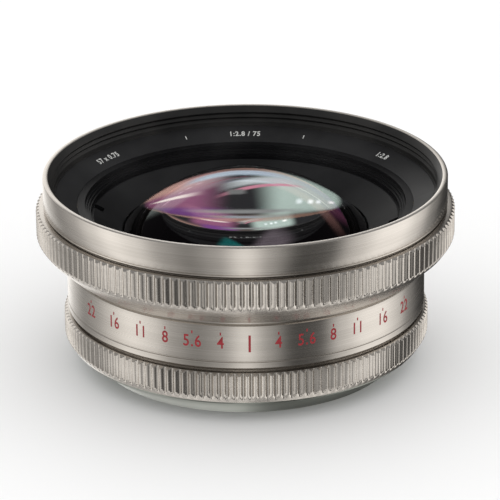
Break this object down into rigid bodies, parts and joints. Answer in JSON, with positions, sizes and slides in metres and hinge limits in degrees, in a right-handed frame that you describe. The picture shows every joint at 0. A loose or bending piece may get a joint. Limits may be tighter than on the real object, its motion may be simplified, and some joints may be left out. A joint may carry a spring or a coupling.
{
  "type": "prime camera lens",
  "caption": "Short round manual-focus lens: domed front glass, knurled focusing and aperture rings, iris of overlapping blades, helicoid focusing, female rear thread.",
  "frame": {"origin": "centre of the rear rest face, on the optical axis", "axes": "+Z along the optical axis towards the subject; the side with the scale's figures faces -Y"},
  "size_m": [0.062, 0.062, 0.0288],
  "materials": {
    "nickel_satin": "satin turned",
    "rear_metal": "satin turned",
    "screw_steel": "fine turned",
    "spacer_grey": "grey anodised",
    "black_anodised": "matt black anodised",
    "blade_steel": "blackened steel",
    "brass": "turned",
    "coated_glass": "coated, polished",
    "clear_glass": "polished"
  },
  "bodies": {
    "fixed_barrel": {"mount_ring": "rear_metal", "mount_screws": "screw_steel", "barrel": "nickel_satin", "rear_baffle": "black_anodised", "guide_keys": "brass", "guide_key_screws": "screw_steel", "focus_keeper_ring": "screw_steel", "focus_stop_pin": "screw_steel", "click_ball": "screw_steel", "click_spring": "brass", "click_spring_screw": "screw_steel"},
    "focusing_ring": {"focus_ring": "nickel_satin", "helicoid_ring": "brass", "helicoid_lock_pins": "screw_steel"},
    "front_unit": {"helicoid_sleeve": "brass", "front_ring": "nickel_satin", "front_ring_screws": "screw_steel", "name_ring": "black_anodised", "baffle_ring": "black_anodised", "front_retainer": "black_anodised", "front_cell": "black_anodised", "front_element": "coated_glass", "second_element": "clear_glass", "third_element": "clear_glass", "front_spacer": "spacer_grey", "iris_housing": "black_anodised", "iris_cover_ring": "screw_steel", "rear_cell": "black_anodised", "rear_cell_screws": "screw_steel", "fourth_element": "clear_glass", "fifth_element": "clear_glass", "sixth_element": "coated_glass", "rear_spacer": "black_anodised", "rear_retainer": "black_anodised"},
    "stop_ring": {"aperture_ring": "nickel_satin", "aperture_drive_arm": "brass", "aperture_arm_screws": "screw_steel"},
    "iris_cam": {"iris_cam_ring": "screw_steel"},
    "blade_1": {"iris_blade_1": "blade_steel"},
    "blade_2": {"iris_blade_2": "blade_steel"},
    "blade_3": {"iris_blade_3": "blade_steel"},
    "blade_4": {"iris_blade_4": "blade_steel"},
    "blade_5": {"iris_blade_5": "blade_steel"},
    "blade_6": {"iris_blade_6": "blade_steel"},
    "blade_7": {"iris_blade_7": "blade_steel"},
    "blade_8": {"iris_blade_8": "blade_steel"}
  },
  "joints": [
    {"name": "focus_turn", "type": "hinge", "parent": "fixed_barrel", "child": "focusing_ring", "pos_m": [0, 0, 0.02], "axis": [0, 0, 1], "range_deg": [0, 150]},
    {"name": "focus_extend", "type": "slide", "parent": "fixed_barrel", "child": "front_unit", "axis": [0, 0, 1], "range_m": [0, 0.006]},
    {"name": "aperture_turn", "type": "hinge", "parent": "fixed_barrel", "child": "stop_ring", "pos_m": [0, 0, 0.006], "axis": [0, 0, 1], "range_deg": [-16, 24]},
    {"name": "iris_cam_turn", "type": "hinge", "parent": "front_unit", "child": "iris_cam", "pos_m": [0, 0, 0.0115], "axis": [0, 0, 1], "range_deg": [-16, 24]},
    {"name": "blade_1_turn", "type": "hinge", "parent": "front_unit", "child": "blade_1", "pos_m": [0.017, 0, 0.01], "axis": [0, 0, 1], "range_deg": [-12, 18]},
    {"name": "blade_2_turn", "type": "hinge", "parent": "front_unit", "child": "blade_2", "pos_m": [0.01202, 0.01202, 0.01], "axis": [0, 0, 1], "range_deg": [-12, 18]},
    {"name": "blade_3_turn", "type": "hinge", "parent": "front_unit", "child": "blade_3", "pos_m": [0, 0.017, 0.01], "axis": [0, 0, 1], "range_deg": [-12, 18]},
    {"name": "blade_4_turn", "type": "hinge", "parent": "front_unit", "child": "blade_4", "pos_m": [-0.01202, 0.01202, 0.01], "axis": [0, 0, 1], "range_deg": [-12, 18]},
    {"name": "blade_5_turn", "type": "hinge", "parent": "front_unit", "child": "blade_5", "pos_m": [-0.017, 0, 0.01], "axis": [0, 0, 1], "range_deg": [-12, 18]},
    {"name": "blade_6_turn", "type": "hinge", "parent": "front_unit", "child": "blade_6", "pos_m": [-0.01202, -0.01202, 0.01], "axis": [0, 0, 1], "range_deg": [-12, 18]},
    {"name": "blade_7_turn", "type": "hinge", "parent": "front_unit", "child": "blade_7", "pos_m": [0, -0.017, 0.01], "axis": [0, 0, 1], "range_deg": [-12, 18]},
    {"name": "blade_8_turn", "type": "hinge", "parent": "front_unit", "child": "blade_8", "pos_m": [0.01202, -0.01202, 0.01], "axis": [0, 0, 1], "range_deg": [-12, 18]}
  ],
  "couplings": [
    {"joint": "focus_extend", "follows": "focus_turn", "m_per_rad": 0.0022918},
    {"joint": "iris_cam_turn", "follows": "aperture_turn", "ratio": 1},
    {"joint": "blade_1_turn", "follows": "aperture_turn", "ratio": 0.75},
    {"joint": "blade_2_turn", "follows": "aperture_turn", "ratio": 0.75},
    {"joint": "blade_3_turn", "follows": "aperture_turn", "ratio": 0.75},
    {"joint": "blade_4_turn", "follows": "aperture_turn", "ratio": 0.75},
    {"joint": "blade_5_turn", "follows": "aperture_turn", "ratio": 0.75},
    {"joint": "blade_6_turn", "follows": "aperture_turn", "ratio": 0.75},
    {"joint": "blade_7_turn", "follows": "aperture_turn", "ratio": 0.75},
    {"joint": "blade_8_turn", "follows": "aperture_turn", "ratio": 0.75}
  ]
}
